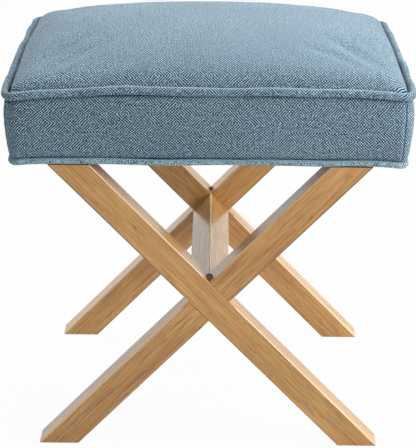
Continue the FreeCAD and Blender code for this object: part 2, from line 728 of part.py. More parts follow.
def crown_section(half_x, y, base, rise):
    """One cross section of the crown: a three-centred arch on a skirt with upright sides."""
    shoulder, depth = basket_arch(half_x, rise)
    lean = math.atan2(depth, half_x - shoulder)
    drop = Z_AXIS * number("edge_rise")

    def shoulder_point(side, angle):
        x = half_x - shoulder + shoulder * math.cos(angle)
        return FreeCAD.Vector(side * x, y, base + shoulder * math.sin(angle))

    left, right = shoulder_point(-1, 0), shoulder_point(1, 0)
    left_joint, right_joint = shoulder_point(-1, lean), shoulder_point(1, lean)
    return Part.Wire([
        Part.Arc(left, shoulder_point(-1, lean / 2), left_joint).toShape(),
        Part.Arc(left_joint, FreeCAD.Vector(0, y, base + rise), right_joint).toShape(),
        Part.Arc(right_joint, shoulder_point(1, lean / 2), right).toShape(),
        Part.LineSegment(right, right - drop).toShape(),
        Part.LineSegment(right - drop, left - drop).toShape(),
        Part.LineSegment(left - drop, left).toShape(),
    ])


def crown_form(inset, base, rise, below=0):
    """The crowned solid of the top panel's outside, inset all round, cut flat a little below its base."""
    half_x = number("seat_width / 2 - panel_set") - inset
    half_y = number("seat_depth / 2 - panel_set") - inset
    slack = number("corner_slack")
    radius = number("corner_radius - panel_set") - inset + (2 + math.sqrt(2)) * slack
    sections = []
    for share in (-1, -0.97, -0.9, -0.75, -0.4, 0, 0.4, 0.75, 0.9, 0.97, 1):
        y = share * half_y
        height = max(arch_height(half_y, rise, y), number("edge_rise"))
        sections.append(crown_section(half_x, y, base, height))
    loft = Part.makeLoft(sections, True, False)
    outline = Part.Face(rounded_wire(half_x + slack, half_y + slack, radius, base - below))
    return loft.common(outline.extrude(Z_AXIS * (2 * rise)))


def make_crown():
    cloth, gap = number("cloth"), number("skin_gap")
    base, rise = number("side_top") + gap, number("crown")
    hollow = crown_form(cloth, base, rise - cloth, below=number("edge_rise / 2"))
    make_soft("top_panel", crown_form(0, base, rise).cut(hollow))
    make_soft("crown_wadding", crown_form(cloth + gap, base - gap, rise - cloth))


def make_welt(label, level, set_back, diameter):
    """A piping loop of four straight runs and four quarter rings."""
    bend = f"(corner_radius - {set_back})"
    half_x, half_y = f"(seat_width / 2 - {set_back})", f"(seat_depth / 2 - {set_back})"
    straight_x, straight_y = f"({half_x} - {bend})", f"({half_y} - {bend})"
    runs = [(Y_AXIS, 90, (f"-{straight_x}", mirrored(half_y, end), level), straight_x) for end in (-1, 1)]
    runs += [(X_AXIS, -90, (mirrored(half_x, side), f"-{straight_y}", level), straight_y) for side in (-1, 1)]
    pieces = []
    for axis, turn, spot, half_length in runs:
        run = doc.addObject("Part::Cylinder", f"{label}_run")
        bind(run, "Radius", f"{diameter} / 2")
        bind(run, "Height", f"2 * {half_length}")
        place(run, axis, turn, spot)
        pieces.append(run)
    for turn, side, end in ((0, 1, 1), (90, -1, 1), (180, -1, -1), (270, 1, -1)):
        ring = doc.addObject("Part::Torus", f"{label}_bend")
        ring.Angle3 = 90
        bind(ring, "Radius1", bend)
        bind(ring, "Radius2", f"{diameter} / 2")
        place(ring, Z_AXIS, turn, (mirrored(straight_x, side), mirrored(straight_y, end), level))
        pieces.append(ring)
    node = doc.addObject("Part::MultiFuse", label)
    node.Label = label
    node.Shapes = pieces
    subparts.append(node)


def build():
    fill_sheet()
    for end, turn in (("front", 0), ("rear", 180)):
        make_leg(f"{end}_leg_over", 1, turn)
        make_leg(f"{end}_leg_under", -1, turn)
        make_end_rail(f"{end}_rail", turn)
    for side, turn in (("right", 0), ("left", 180)):
        make_side_rail(f"{side}_rail", turn)
    for end_name, end in (("front", -1), ("rear", 1)):
        for side_name, side in (("left", -1), ("right", 1)):
            make_corner_block(f"{end_name}_{side_name}_block", side, end)
    make_stretcher()
    make_crossing_screws()
    make_feet()
    make_leg_bolts()
    make_rail_screws()
    make_deck()
    make_dust_cover()
    make_staples()
    make_padding()
    make_boxing()
    make_crown()
    make_welt("top_welt", "top_welt_level", "top_welt_set", "top_welt_diameter")
    make_welt("bottom_welt", "bottom_welt_level", "bottom_welt_set", "bottom_welt_diameter")
    doc.recompute()


def check():
    for item in doc.Objects:
        if {"Invalid", "Error"} & set(item.State):
            raise RuntimeError(f"{item.Label} failed: {item.State}")
    for node in subparts:
        shape = node.Shape
        if shape.isNull() or not shape.isValid() or not shape.Solids:
            raise RuntimeError(f"{node.Label} has no valid solid")


def write():
    os.makedirs("parts", exist_ok=True)
    for node in subparts:
        node.Shape.exportStep(os.path.join("parts", f"{node.Label}.step"))
        print(node.Label, len(node.Shape.Solids), round(node.Shape.Volume / 1000, 2), "cm3")


build()
check()
write()
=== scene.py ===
"""Footstool: a boxed cushion in herringbone cloth on two crossed wooden frames."""

import math

import bpy
import numpy as np
from bpy.props import FloatProperty, FloatVectorProperty, IntProperty, PointerProperty
from mathutils import Matrix, Vector


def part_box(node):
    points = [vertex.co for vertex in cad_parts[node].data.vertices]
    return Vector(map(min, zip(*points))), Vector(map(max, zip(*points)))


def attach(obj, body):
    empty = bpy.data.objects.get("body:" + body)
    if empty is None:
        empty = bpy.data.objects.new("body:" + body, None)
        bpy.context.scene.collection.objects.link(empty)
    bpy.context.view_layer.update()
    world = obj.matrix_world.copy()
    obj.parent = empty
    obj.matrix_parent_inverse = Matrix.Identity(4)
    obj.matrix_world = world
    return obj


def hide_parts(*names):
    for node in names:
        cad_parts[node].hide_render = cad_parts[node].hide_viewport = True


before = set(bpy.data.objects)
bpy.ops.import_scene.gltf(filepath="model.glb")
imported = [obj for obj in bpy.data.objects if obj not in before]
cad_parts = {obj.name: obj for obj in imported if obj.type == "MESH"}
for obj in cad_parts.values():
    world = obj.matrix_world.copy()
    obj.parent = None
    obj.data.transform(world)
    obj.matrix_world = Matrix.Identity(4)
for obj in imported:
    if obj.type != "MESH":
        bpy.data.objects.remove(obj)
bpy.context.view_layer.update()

bl_info = {
    "name": "Footstool",
    "version": (1, 0, 0),
    "blender": (4, 5, 0),
    "location": "3D View > Sidebar > Footstool",
    "description": "Dresses the footstool's frame with wood, cloth, padding and a plain stage",
    "category": "Object",
}

BODY = "root"
SIDES = ("front", "right", "rear", "left")
LEGS = ("front_leg_over", "front_leg_under", "rear_leg_over", "rear_leg_under")
RAILS = tuple(f"{side}_rail" for side in SIDES)
BLOCKS = tuple(f"{end}_{side}_block" for end in ("front", "rear") for side in ("left", "right"))
BOXING = tuple(f"{side}_boxing" for side in SIDES)
FIXINGS = ("rail_screws", "deck_screws", "leg_bolts", "leg_washers", "tee_nuts", "staples", "glide_nails")


def joined_box(*nodes):
    """Lowest and highest corner of several solids together."""
    boxes = [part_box(node) for node in nodes]
    low = Vector([min(box[0][axis] for box in boxes) for axis in range(3)])
    high = Vector([max(box[1][axis] for box in boxes) for axis in range(3)])
    return low, high


SEAT_LOW, SEAT_HIGH = joined_box(*BOXING)
PANEL_LOW, PANEL_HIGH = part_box("top_panel")
TOP_WELT_LOW, TOP_WELT_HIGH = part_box("top_welt")
BOTTOM_WELT_LOW, BOTTOM_WELT_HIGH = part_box("bottom_welt")
FOAM_LOW, FOAM_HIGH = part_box("foam_block")
RAIL_HIGH = joined_box(*RAILS)[1]
LINING_LOW, LINING_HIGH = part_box("dust_cover")
STRETCHER_LOW, STRETCHER_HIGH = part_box("stretcher")

CLOTH_FINISH = "herringbone_cloth"
CROSSING_NEAR, CROSSING_CLEAR = 0.024, 0.03  # where a leg's painted edge highlight and shade stop, from its crossing
NO_CROSSING = 1.0  # a place far off the end of a bar that no other bar crosses
PLY_PAIR = 0.003  # thickness of one light and one dark layer of plywood
SEAM_POINTS = np.array([0.0003, 0.0012, 0.0026])  # distances of the points nearest to a corner seam
SEAM_MARGIN = 0.004  # the sides' evenly spaced points begin this far from a corner seam
EDGE_SHADE, CORNER_SHADE, PANEL_SHADE = 0.0015, 0.0007, 0.0016  # how far the dark of a seam reaches
OVERHEAD_PLACE, OVERHEAD_WIDTH = Vector((0.35, 0.75, 2.3)), 1.9
SIDE_PLACE, SIDE_WIDTH = Vector((1.6, -0.65, 0.95)), 1.0
TOP_WELT_SEED, BOTTOM_WELT_SEED = 11, 23
RIDGE_SHARPNESS = 14


def size(name, default, description):
    """A length that a user may change, in metres."""
    return FloatProperty(name=name, description=description, default=default, subtype="DISTANCE",
                         unit="LENGTH")


def whole(name, default, lowest, description):
    """A whole number that a user may change, such as a count of points."""
    return IntProperty(name=name, description=description, default=default, min=lowest)


def turn(name, degrees, description):
    """An angle that a user may change."""
    return FloatProperty(name=name, description=description, default=math.radians(degrees),
                         subtype="ANGLE")


def share(name, default, description):
    """A plain number from 0 to 1."""
    return FloatProperty(name=name, description=description, default=default, min=0, max=1,
                         subtype="FACTOR")


def lamp_power(name, default, description):
    """The power of a lamp, in watts."""
    return FloatProperty(name=name, description=description, default=default, unit="POWER")


def colour(name, red, green, blue, description):
    """A colour given as three screen values from 0 to 255, kept as a linear colour."""
    linear = []
    for level in (red, green, blue):
        screen = level / 255
        linear.append(screen / 12.92 if screen <= 0.04045 else ((screen + 0.055) / 1.055) ** 2.4)
    return FloatVectorProperty(name=name, description=description, default=linear, size=3, min=0, max=1,
                               subtype="COLOR")


class StoolCover(bpy.types.PropertyGroup):
    """Sizes and colours of the sewn cover."""
    corner_radius: size("Corner radius", 0.018, "Rounding of the seat's upright corners")
    cloth: size("Cloth", 0.0012, "Thickness of the cover cloth")
    draw_in: size("Draw in", 0.0053, "How far the sides pull in at the bottom seam")
    fullest: share("Fullest", 0.72, "Height of the sides' fullest line as a share of their height")
    bulge: size("Bulge", 0.0022, "Swell of each side between its corners")
    seam_roll: size("Seam roll", 0.0026, "How far the cloth rolls in at a seam")
    seam_reach: size("Seam reach", 0.0022, "How far from a seam that roll begins")
    seam_angle: turn("Seam angle", 26, "Place of each corner seam round its corner")
    front_left_dip: size("Front left dip", 0.0085, "Drop of the top edge at the front left corner")
    front_right_dip: size("Front right dip", 0.0065, "Drop of the top edge at the front right corner")
    rear_left_dip: size("Rear left dip", -0.0008, "Drop of the top edge at the rear left corner")
    rear_right_dip: size("Rear right dip", 0.0012, "Drop of the top edge at the rear right corner")
    hem_left_dip: size("Left hem dip", 0.004, "Drop of the bottom edge at the left corners")
    hem_right_dip: size("Right hem dip", 0.0032, "Drop of the bottom edge at the right corners")
    dip_reach: size("Dip reach", 0.045, "Distance over which a top corner's drop dies away")
    left_lift: size("Left lift", 0.001, "How far the front top edge stands high at its left end")
    right_lift: size("Right lift", 0.0022, "How far the front top edge stands high at its right end")
    hem_lift: size("Hem lift", 0.0003, "How far the bottom edge stands high between its corners")
    hem_reach: size("Hem reach", 0.014, "Distance over which a bottom corner's drop dies away")
    hem_proud: size("Hem proud", 0.0012, "How far the bottom welt is pushed out by the padding")
    hem_tuck: size("Hem tuck", 0.0014, "How far the sides reach down behind the bottom welt")
    rim_lift: size("Rim lift", 0.003, "How far up the top welt the top panel is sewn")
    left_ease: size("Left ease", 0.0042, "How far the loose cover stands out at the front left")
    middle_ease: size("Middle ease", 0.0066, "How far it stands out at the middle of the left side")
    rear_ease: size("Rear ease", 0.0062, "How far it stands out at the rear left")
    panel_corner: size("Panel corner", 0.014, "Rounding of the top panel's corners")
    shoulder: share("Shoulder", 0.62, "Radius of the front and rear shoulders as a share of the rise")
    side_shoulder: share("Side shoulder", 0.72, "Radius of the left and right shoulders, in the same way")
    slack: size("Slack", 0.0055, "How far the top panel lies under its full crown before it is filled")
    calm_reach: size("Calm reach", 0.06, "Distance from a corner within which filling does little")
    fill_cap: size("Fill cap", 0.009, "Furthest that filling moves a point of the top panel")
    welt_height: size("Welt height", 0.0098, "Height of the top welt on its seam")
    welt_wander: size("Welt wander", 0.0008, "Unevenness of the hand-fed welts")
    pucker: size("Pucker", 0.00035, "Depth of the small puckers along the seams")
    pucker_pitch: size("Pucker pitch", 0.0085, "Distance from one pucker to the next")
    dark_thread: colour("Dark thread", 14, 26, 54, "Weft thread of the herringbone")
    light_thread: colour("Light thread", 200, 238, 254, "Warp thread of the herringbone")
    # Painted light and shade on the welts: the first two make the welts' cloth paler where light falls,
    # the third paints a highlight along the upper edge of each welt's front, and the fourth paints shade
    # along the left and right sides.
    top_welt_light: share("Top welt brush", 0.03, "How much paler the cloth of the top welt is")
    bottom_welt_light: share("Bottom welt brush", 0.27, "How much paler the cloth of the bottom welt is")
    ridge_highlight: share("Ridge brush", 0.26, "How much paler the rubbed front ridge of the top welt is")
    side_shade: share("Side shade", 0.1, "How much darker the welts are along the left and right sides")
    # Painted shade: the colour that the cloth darkens to in the creases along its seams.
    seam_shade: colour("Seam thread", 28, 38, 52, "Shaded thread deep in the seams")
    twill_pitch: size("Twill pitch", 0.0033, "Distance between the twill lines, measured along the cloth")
    band: size("Band", 0.0105, "Width of one herringbone band")
    block: size("Block", 0.016, "Length along a band after which the twill may turn")
    turned_blocks: share("Turned blocks", 0.3, "Share of those lengths that turn against their band")


class StoolWood(bpy.types.PropertyGroup):
    """Colours and gloss of the frame's wood."""
    pale_wood: colour("Pale wood", 229, 177, 105, "Light wood between the grain lines")
    # The next colour is the wood's real pores and flecks. It is also painted along the bars' lower edges
    # as painted shade.
    grain_wood: colour("Grain wood", 151, 95, 42, "Darker late wood of the grain lines")
    pores_and_edge_shade: colour("Pore wood", 104, 62, 28, "Pores and short dark flecks")
    # Painted highlight: the next colour is painted along the bars' upper edges, where light catches them.
    # The width after it is how far that highlight and the painted shade of the lower edges reach.
    edge_highlight: colour("Edge wood", 252, 230, 184, "Wood rubbed paler along the upper edges")
    edge_width: size("Edge width", 0.0022, "Width of the rubbed edges")
    varnish: share("Varnish", 0.45, "Weight of the clear varnish over the wood")
    gloss: share("Roughness", 0.3, "Roughness of the varnished wood")
    frame_wood: colour("Frame wood", 214, 180, 132, "Plain softwood of the hidden seat frame")
    ply_dark: colour("Dark ply", 150, 108, 66, "Dark layers at the plywood's edge")


class StoolStage(bpy.types.PropertyGroup):
    """Camera, lamps and floor."""
    camera_x: size("Camera across", 0.0077, "Camera's distance to the right of the seat's middle")
    camera_y: size("Camera back", 2.1509, "Camera's distance in front of the seat's middle")
    camera_z: size("Camera height", 0.9206, "Camera's height above the floor")
    camera_pitch: turn("Camera pitch", 18.145, "How far the camera looks down")
    camera_yaw: turn("Camera yaw", 0.283, "How far the camera turns to the left")
    camera_roll: turn("Camera roll", -0.462, "How far the camera leans")
    lens: FloatProperty(name="Lens", description="Focal length for a 36 mm wide picture", default=144.5,
                        unit="CAMERA")
    sky: share("Sky", 0.45, "Strength of the even studio light")
    overhead: lamp_power("Overhead", 47, "Power of the large lamp over the seat")
    side: lamp_power("Side", 26, "Power of the lamp at the right")
    floor: colour("Floor", 212, 212, 212, "Pale floor")
    floor_white: share("Floor white", 0.97, "How far the floor is seen as plain white")


def cover():
    return bpy.context.scene.stool_cover


def wood():
    return bpy.context.scene.stool_wood


def stage():
    return bpy.context.scene.stool_stage


def sum_node(operation, turned=False):
    """A Python operator that adds a Math node; turned swaps its two values."""
    def add_node(self, other):
        values = (other, self) if turned else (self, other)
        return self.node("Math", {"operation": operation}, dict(enumerate(values)))
    return add_node


class Shade:
    """A shader socket that takes part in Python sums; each sum adds a node to its tree."""
    __add__ = __radd__ = sum_node("ADD")
    __sub__, __rsub__ = sum_node("SUBTRACT"), sum_node("SUBTRACT", turned=True)
    __mul__ = __rmul__ = sum_node("MULTIPLY")
    __truediv__, __rtruediv__ = sum_node("DIVIDE"), sum_node("DIVIDE", turned=True)
    __mod__, __rmod__ = sum_node("FLOORED_MODULO"), sum_node("FLOORED_MODULO", turned=True)

    def __init__(self, tree, socket=None):
        self.tree = tree
        self.socket = socket

    def node(self, kind, settings=None, inputs=None, output=0):
        """Adds a node: its settings first, then the values or links of its inputs. Gives one output."""
        made = self.tree.nodes.new("ShaderNode" + kind)
        for name, value in (settings or {}).items():
            setattr(made, name, value)
        for key, value in (inputs or {}).items():
            if isinstance(value, Shade):
                self.tree.links.new(value.socket, made.inputs[key])
            else:
                made.inputs[key].default_value = value
        return Shade(self.tree, made.outputs[output] if made.outputs else None)

    def also(self, output):
        """Another output of the same node."""
        return Shade(self.tree, self.socket.node.outputs[output])

    def math(self, operation, *others, clamp=False):
        values = dict(enumerate((self, *others)))
        return self.node("Math", {"operation": operation, "use_clamp": clamp}, values)

    def clamped(self):
        """The same value, kept from 0 to 1."""
        return self.math("ADD", 0.0, clamp=True)

    def step(self, low, high):
        """0 below low, 1 above high, and a smooth rise between them."""
        settings = {"interpolation_type": "SMOOTHSTEP"}
        return self.node("MapRange", settings, {"Value": self, "From Min": low, "From Max": high})

    def place(self):
        """Place on the piece, in the stool's own frame."""
        return self.node("TexCoord", output="Object")

    def vector(self, x, y, z):
        return self.node("CombineXYZ", None, {"X": x, "Y": y, "Z": z})

    def noise(self, vector, scale, detail=2.0, roughness=0.5, distortion=0.0):
        inputs = {"Vector": vector, "Scale": scale, "Detail": detail, "Roughness": roughness,
                  "Distortion": distortion}
        return self.node("TexNoise", None, inputs)

    def mix(self, factor, first, second):
        """One colour into another."""
        inputs = {0: factor, 6: rgba(first), 7: rgba(second)}
        return self.node("Mix", {"data_type": "RGBA"}, inputs, output=2)

    def bump(self, height, strength, distance):
        return self.node("Bump", None, {"Height": height, "Strength": strength, "Distance": distance})


def rgba(value):
    return value if isinstance(value, Shade) else (*value, 1)


def new_material(name):
    """An empty node material and the start of its sums."""
    material = bpy.data.materials.new(name)
    material.use_nodes = True
    material.node_tree.nodes.clear()
    return material, Shade(material.node_tree)


def show(shade, surface):
    """Ends a material in that surface shader."""
    shade.node("OutputMaterial", None, {"Surface": surface})


def finished(material, shade, inputs):
    """Ends a material in a principled surface with those inputs, and gives the material."""
    show(shade, shade.node("BsdfPrincipled", None, inputs))
    return material


def cloth_material():
    """Herringbone: twill lines that turn back at each band, of dark and light threads, slubby and with a
    soft sheen. Painted light and shade make the welts paler or darker, and painted shade darkens the
    cloth near its seams."""
    settings = cover()
    material, shade = new_material(CLOTH_FINISH)
    flat = shade.node("Attribute", {"attribute_name": "weave"}, output="Vector")
    places = shade.node("SeparateXYZ", None, {0: flat})
    along, across, painted_lighting = places, places.also("Y"), places.also("Z")
    seam = shade.node("Attribute", {"attribute_name": "seam"}, output="Fac")

    def wave(turns):
        return (turns * math.tau).math("SINE") * 0.5 + 0.5

    drift = shade.noise(flat, 40, 2.0) - 0.5
    stray = shade.noise(flat, 120, 2.0) - 0.5
    row = ((across + 0.008 * drift) / settings.band).math("FLOOR")
    column = ((along - 0.02 * drift) / settings.block + 0.5 * row).math("FLOOR")
    spot = {"Vector": shade.vector(row, column, 0)}
    chance = shade.node("TexWhiteNoise", {"noise_dimensions": "2D"}, spot)
    turned = chance.math("LESS_THAN", settings.turned_blocks)
    twill = across * (1 - 2 * ((row + turned) % 2.0))
    ridge = wave((along + twill + 0.0022 * stray) / settings.twill_pitch + chance)
    bead = wave((along - twill) / settings.twill_pitch)
    slub = shade.noise(flat, 280, 3.0, 0.7)
    fleck = shade.noise(flat, 620, 2.0, 0.7)
    fade = shade.noise(flat, 9, 2.0)

    worn = 1.35 * (slub - 0.5) + 2.4 * (fleck - 0.5) + 0.15 * (fade - 0.5)
    # The weave's third value is painted light and shade, which makes the welts' cloth paler or darker.
    tone = ridge.step(0.4, 0.86) * (0.42 + 0.76 * bead) - 0.1 + worn + painted_lighting
    threads = shade.mix(tone.clamped(), settings.dark_thread, settings.light_thread)
    # Painted shade: the cloth darkens towards its seams, where creases fall in shade.
    base = shade.mix(seam * 0.82, threads, settings.seam_shade)
    rough = 0.98 - 0.14 * ridge
    height = 0.6 * ridge + 0.25 * bead + 0.3 * slub
    return finished(material, shade, {
        "Base Color": base, "Roughness": rough, "Specular IOR Level": 0.18, "Sheen Weight": 0.22,
        "Sheen Roughness": 0.45, "Sheen Tint": (0.86, 0.93, 1.0, 1),
        "Normal": shade.bump(height, 0.35, 0.0007),
    })


def wood_material(node, direction, side_axis, seed):
    """Varnished wood for a square bar: straight grain along it, flecks, a slow change of tone, a painted
    highlight along its upper edges and painted shade along its lower edges."""
    settings = wood()
    material, shade = new_material(f"{node}_wood")
    place = shade.place()
    points = solid_points(node)

    def measured(axis):
        """Distance along an axis, as a socket, and its middle and half width on this bar."""
        dot = {"operation": "DOT_PRODUCT"}
        socket = shade.node("VectorMath", dot, {0: place, 1: axis}, output="Value")
        reach = points @ np.array(axis)
        return socket, (reach.max() + reach.min()) / 2, (reach.max() - reach.min()) / 2

    def rim(socket, half):
        """1 within the painted edge width of a side, where highlight and shade are painted."""
        return socket.step(half - settings.edge_width, half - settings.edge_width / 2)

    length = measured(direction)[0]
    along = length + 1.7 * seed
    across = measured(side_axis)
    depth = measured(direction.cross(side_axis))
    middle = Vector(STRETCHER_LOW + STRETCHER_HIGH) / 2
    crossing = direction.dot(middle) if node in LEGS else NO_CROSSING
    clear = (length - crossing).math("ABSOLUTE").step(CROSSING_NEAR, CROSSING_CLEAR)
    # Painted light: a painted highlight on the edges of the upper side and painted shade on those of the
    # lower side, both faded out near the crossing.
    sides = clear * rim((across[0] - across[1]).math("ABSOLUTE"), across[2])
    highlighted = sides * rim(depth[0] - depth[1], depth[2])
    lower_edge_shade = sides * rim(depth[1] - depth[0], depth[2])
    wide, deep = across[0], depth[0] + 0.9 * seed

    def streaks(side, along_scale, wide_scale, deep_scale, detail=2.0, roughness=0.5):
        """Noise that is drawn out along the bar."""
        stretched = shade.vector(along * along_scale, side * wide_scale, deep * deep_scale)
        return shade.noise(stretched, 1.0, detail, roughness)

    bent = wide + 0.018 * (streaks(wide, 4, 9, 9) - 0.5)
    rings = streaks(bent, 1.8, 64, 40, 3.0, 0.55).step(0.36, 0.64)
    lines = streaks(bent, 6, 380, 380, 3.0, 0.6).step(0.3, 0.7)
    fine = streaks(bent, 15, 860, 860, 2.0, 0.6).step(0.32, 0.68)
    tone = streaks(wide, 7, 16, 16).step(0.38, 0.72)
    pores = streaks(bent, 75, 760, 760).step(0.6, 0.72)

    grain = 0.16 * rings + 0.24 * lines + 0.5 * fine + 0.2 * tone - 0.06
    streaked = shade.mix(grain.clamped(), settings.pale_wood, settings.grain_wood)
    # Real pores, then painted shade along the lower edges, then the painted highlight along the upper
    # edges.
    flecked_and_shaded = shade.mix((pores * 0.5).math("MAXIMUM", 0.8 * lower_edge_shade), streaked, settings.pores_and_edge_shade)
    base = shade.mix(highlighted * 0.72, flecked_and_shaded, settings.edge_highlight)
    rough = settings.gloss + 0.12 * (fine - 0.5) + 0.1 * pores
    height = 0.4 * fine + 0.5 * lines - 0.7 * pores
    return finished(material, shade, {
        "Base Color": base, "Roughness": rough, "Specular IOR Level": 0.45,
        "Coat Weight": settings.varnish, "Coat Roughness": 0.2, "Coat IOR": 1.5,
        "Normal": shade.bump(height, 0.12, 0.0002),
    })


def softwood_material():
    """Plain sawn softwood for the parts that the cover hides."""
    settings = wood()
    material, shade = new_material("sawn_softwood")
    place = shade.place()
    saw = shade.noise(place, 240, 3.0, 0.7)
    bands = {"Vector": place, "Scale": 22, "Distortion": 5, "Detail": 2}
    wave = shade.node("TexWave", {"bands_direction": "Z"}, bands)
    base = shade.mix(wave.also("Fac") * 0.45 + 0.3 * saw, settings.frame_wood, settings.grain_wood)
    return finished(material, shade, {
        "Base Color": base, "Roughness": 0.62 + 0.2 * saw, "Normal": shade.bump(saw, 0.3, 0.0005),
    })


def plywood_material():
    """Plywood: a birch face, and light and dark layers at the edge."""
    settings = wood()
    material, shade = new_material("birch_plywood")
    place = shade.place()
    height = shade.node("SeparateXYZ", None, {0: place}, output="Z")
    layers = (height * (math.tau / PLY_PAIR)).math("SINE").step(-0.2, 0.2)
    upright = shade.node("NewGeometry", output="Normal")
    edge = 1 - shade.node("SeparateXYZ", None, {0: upright}, output="Z").math("ABSOLUTE").step(0.4, 0.8)
    streak = shade.noise(place, 60, 4.0, 0.6, 1.2)
    face = shade.mix(streak * 0.5, settings.frame_wood, settings.pale_wood)
    base = shade.mix(edge * layers * 0.8, face, settings.ply_dark)
    return finished(material, shade, {
        "Base Color": base, "Roughness": 0.5 + 0.2 * streak, "Normal": shade.bump(streak, 0.15, 0.0004),
    })


def speckled_material(name, dark, light, scale, rough, relief, metallic=0.0):
    """A fine-grained finish between two colours, such as zinc, moulded plastic, foam or felt."""
    material, shade = new_material(name)
    place = shade.place()
    speck = shade.noise(place, scale, 3.0, 0.6)
    cloud = shade.noise(place, scale / 9, 2.0)
    base = shade.mix((0.6 * speck + 0.6 * cloud - 0.1).clamped(), dark, light)
    return finished(material, shade, {
        "Base Color": base, "Metallic": metallic, "Roughness": rough + 0.25 * (speck - 0.5),
        "Normal": shade.bump(speck, 0.35, relief),
    })


def solid_points(node):
    """Points of a solid of the construction model."""
    return np.array([vertex.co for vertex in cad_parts[node].data.vertices])


def assign(node, material):
    """Gives a solid of the construction model its finish."""
    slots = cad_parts[node].data.materials
    slots.clear()
    slots.append(material)


def eased(points):
    """The cover's points, with its left half stretched a little."""
    settings = cover()
    points = np.array(points)
    steps = (settings.left_ease, settings.middle_ease, settings.rear_ease)
    ease = np.interp(points[:, 1], (SEAT_LOW.y, 0, SEAT_HIGH.y), steps)
    points[:, 0] *= np.where(points[:, 0] < 0, 1 + ease / SEAT_HIGH.x, 1)
    return points


def new_piece(name, points, faces):
    """A smooth mesh piece from points and faces, in the stool's own frame."""
    mesh = bpy.data.meshes.new(name)
    mesh.from_pydata([tuple(point) for point in points], [], faces)
    mesh.shade_smooth()
    mesh.update()
    piece = bpy.data.objects.new(name, mesh)
    bpy.context.scene.collection.objects.link(piece)
    return piece


def dress(piece, material, slot, *nodes):
    """Puts a finished piece on the stool, in place of the solids that it stands for."""
    piece.data.materials.clear()
    piece.data.materials.append(material)
    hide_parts(*nodes)
    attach(piece, BODY)


def thicken(piece, thickness):
    """Gives a cloth piece its thickness, inwards."""
    layer = piece.modifiers.new("thickness", "SOLIDIFY")
    layer.thickness = thickness
    layer.offset = -1
    drawn = piece.evaluated_get(bpy.context.evaluated_depsgraph_get())
    mesh = bpy.data.meshes.new_from_object(drawn)
    former = piece.data
    piece.modifiers.clear()
    piece.data = mesh
    bpy.data.meshes.remove(former)
    mesh.name = piece.name


def lay_cloth(piece, along, across, seam, painted_lighting=0.0):
    """Stores each point's place on the flat cloth, the painted light and shade that make the cloth paler
    or darker there, and its nearness to a seam, which the cloth's finish turns into painted shade."""
    places = np.column_stack([np.ravel(along), np.ravel(across), np.ravel(painted_lighting + 0 * along)])
    weave = piece.data.attributes.new("weave", "FLOAT_VECTOR", "POINT")
    weave.data.foreach_set("vector", places.astype(np.float32).ravel())
    nearness = piece.data.attributes.new("seam", "FLOAT", "POINT")
    nearness.data.foreach_set("value", np.ravel(seam).astype(np.float32))


def grid_faces(rows, columns, wrap=False, first=0):
    """Quads over points stored row by row; wrap joins the last column to the first."""
    faces = []
    for row in range(rows - 1):
        for column in range(columns if wrap else columns - 1):
            after = (column + 1) % columns
            low, high = first + row * columns, first + (row + 1) * columns
            faces.append((low + column, low + after, high + after, high + column))
    return faces


def end_caps(rows, columns, first=0):
    """The two faces that close a tube of points stored ring by ring."""
    last = first + (rows - 1) * columns
    return [tuple(reversed(range(first, first + columns))), tuple(range(last, last + columns))]


def walk_outline(half_x, half_y, radius, step):
    """Walks a rounded rectangle from the middle of its rear side, by the left, front and right sides.
    Gives the inner rectangle's points, the outward directions and the distance walked."""
    inner_x, inner_y = half_x - radius, half_y - radius
    corners = ((-inner_x, inner_y), (-inner_x, -inner_y), (inner_x, -inner_y), (inner_x, inner_y))
    bends = max(6, int(round(radius * math.pi / 2 / (step / 2))))
    core, facing = [], []
    before = (0.0, inner_y)
    for number, corner in enumerate((*corners, (0.0, inner_y))):
        start = math.pi / 2 * (1 + number)
        run = math.dist(before, corner)
        parts = max(1, int(round(run / step)))
        for part in range(parts):
            core.append([before[axis] + (corner[axis] - before[axis]) * part / parts for axis in (0, 1)])
            facing.append((math.cos(start), math.sin(start)))
        if number < len(corners):
            for bend in range(bends):
                angle = start + math.pi / 2 * bend / bends
                core.append(list(corner))
                facing.append((math.cos(angle), math.sin(angle)))
        before = corner
    core.append(core[0])
    facing.append(facing[0])
    core, facing = np.array(core), np.array(facing)
    edge = core + radius * facing
    walked = np.concatenate([[0], np.cumsum(np.linalg.norm(np.diff(edge, axis=0), axis=1))])
    return core, facing, walked


def corner_drop(x, y, drops, reach):
    """Drop at a place of the seat near its corners: front left, front right, rear right, rear left."""
    settings = cover()
    tuck = settings.corner_radius * (1 - math.sqrt(0.5))
    away_x, away_y = SEAT_HIGH.x - tuck, SEAT_HIGH.y - tuck
    signs = ((-1, -1), (1, -1), (1, 1), (-1, 1))
    total = np.zeros(np.shape(x))
    for drop, (side, end) in zip(drops, signs):
        distance = np.sqrt((x - side * away_x) ** 2 + (y - end * away_y) ** 2 + tuck ** 2)
        total = total + drop * np.exp(-(distance - tuck) / reach)
    return total


def top_drop(x, y):
    settings = cover()
    drops = (settings.front_left_dip, settings.front_right_dip,
             settings.rear_right_dip, settings.rear_left_dip)
    front = np.interp(y, (SEAT_LOW.y, SEAT_HIGH.y), (1, 0))
    lift = np.interp(x, (SEAT_LOW.x, SEAT_HIGH.x), (settings.left_lift, settings.right_lift))
    return corner_drop(x, y, drops, settings.dip_reach) - front * lift


def hem_drop(x, y):
    settings = cover()
    drops = (settings.hem_left_dip, settings.hem_right_dip, settings.hem_right_dip, settings.hem_left_dip)
    return corner_drop(x, y, drops, settings.hem_reach) - settings.hem_lift


